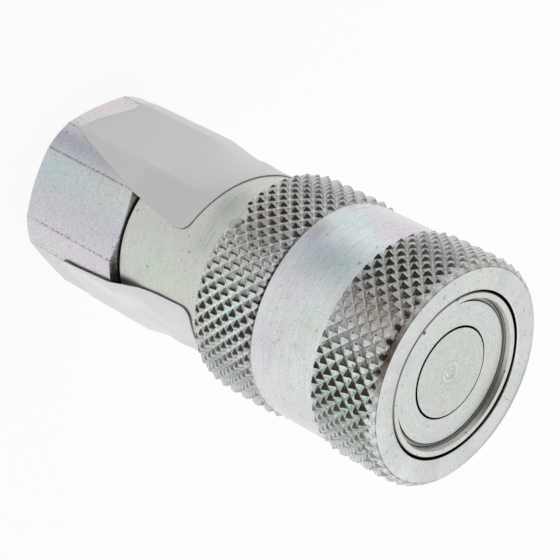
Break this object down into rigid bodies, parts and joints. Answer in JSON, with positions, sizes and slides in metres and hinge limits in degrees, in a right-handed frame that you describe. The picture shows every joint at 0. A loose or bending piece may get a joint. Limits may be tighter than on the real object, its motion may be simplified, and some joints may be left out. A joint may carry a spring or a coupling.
{
  "type": "quick release coupling",
  "caption": "Flat-face hydraulic quick release coupling, female half: knurled ball-lock sleeve on a valved body with a threaded hexagon end.",
  "frame": {"origin": "centre of the hexagon end's flat end face, on the coupling's axis", "axes": "+Z along the coupling's axis from the threaded end to the mouth, -Y towards the side with the bare flat between the label's two ends"},
  "size_m": [0.038, 0.038, 0.083],
  "materials": {
    "adapter_zinc": "clear iridescent zinc plating, fine milled",
    "body_zinc": "clear iridescent zinc plating, fine turned",
    "sleeve_zinc": "clear iridescent zinc plating, knurled and turned",
    "valve_zinc": "clear zinc plating, face turned",
    "stem_zinc": "clear zinc plating, face turned",
    "spring_steel": "drawn spring wire and strip",
    "ball_steel": "polished bearing steel",
    "holder_steel": "plain zinc plating",
    "black_rubber": "moulded nitrile",
    "back_up_plastic": "skived white plastic",
    "label_paper": "matt grey self-adhesive paper"
  },
  "bodies": {
    "coupling_body": {"adapter": "adapter_zinc", "adapter_o_ring": "black_rubber", "coupler_body": "body_zinc", "sleeve_stop_ring": "spring_steel", "sleeve_spring": "spring_steel", "lock_ball": "ball_steel", "body_seal": "black_rubber", "back_up_ring": "back_up_plastic", "valve_spring": "spring_steel", "valve_stem": "stem_zinc", "stem_seal": "black_rubber", "stem_holder": "holder_steel", "stem_nut": "holder_steel", "adhesive_label": "label_paper", "locking_ball_01": "ball_steel", "locking_ball_02": "ball_steel", "locking_ball_03": "ball_steel", "locking_ball_04": "ball_steel", "locking_ball_05": "ball_steel", "locking_ball_06": "ball_steel", "locking_ball_07": "ball_steel", "locking_ball_08": "ball_steel", "locking_ball_09": "ball_steel", "locking_ball_10": "ball_steel"},
    "sleeve_carriage": {"spring_thrust_washer": "spring_steel"},
    "sleeve": {"locking_sleeve": "sleeve_zinc"},
    "valve": {"valve_sleeve": "valve_zinc"}
  },
  "joints": [
    {"name": "sleeve_slide", "type": "slide", "parent": "coupling_body", "child": "sleeve_carriage", "axis": [0, 0, -1], "range_m": [0, 0.003], "stiffness_N_per_m": 4000, "springref_m": -0.01, "deforming": ["sleeve_spring"]},
    {"name": "sleeve_turn", "type": "hinge", "parent": "sleeve_carriage", "child": "sleeve", "pos_m": [0, 0, 0.0637], "axis": [0, 0, 1], "range_deg": [-0.4, 5.2]},
    {"name": "valve_slide", "type": "slide", "parent": "coupling_body", "child": "valve", "axis": [0, 0, -1], "range_m": [0, 0.014], "stiffness_N_per_m": 2500, "springref_m": -0.012, "deforming": ["valve_spring"]}
  ]
}
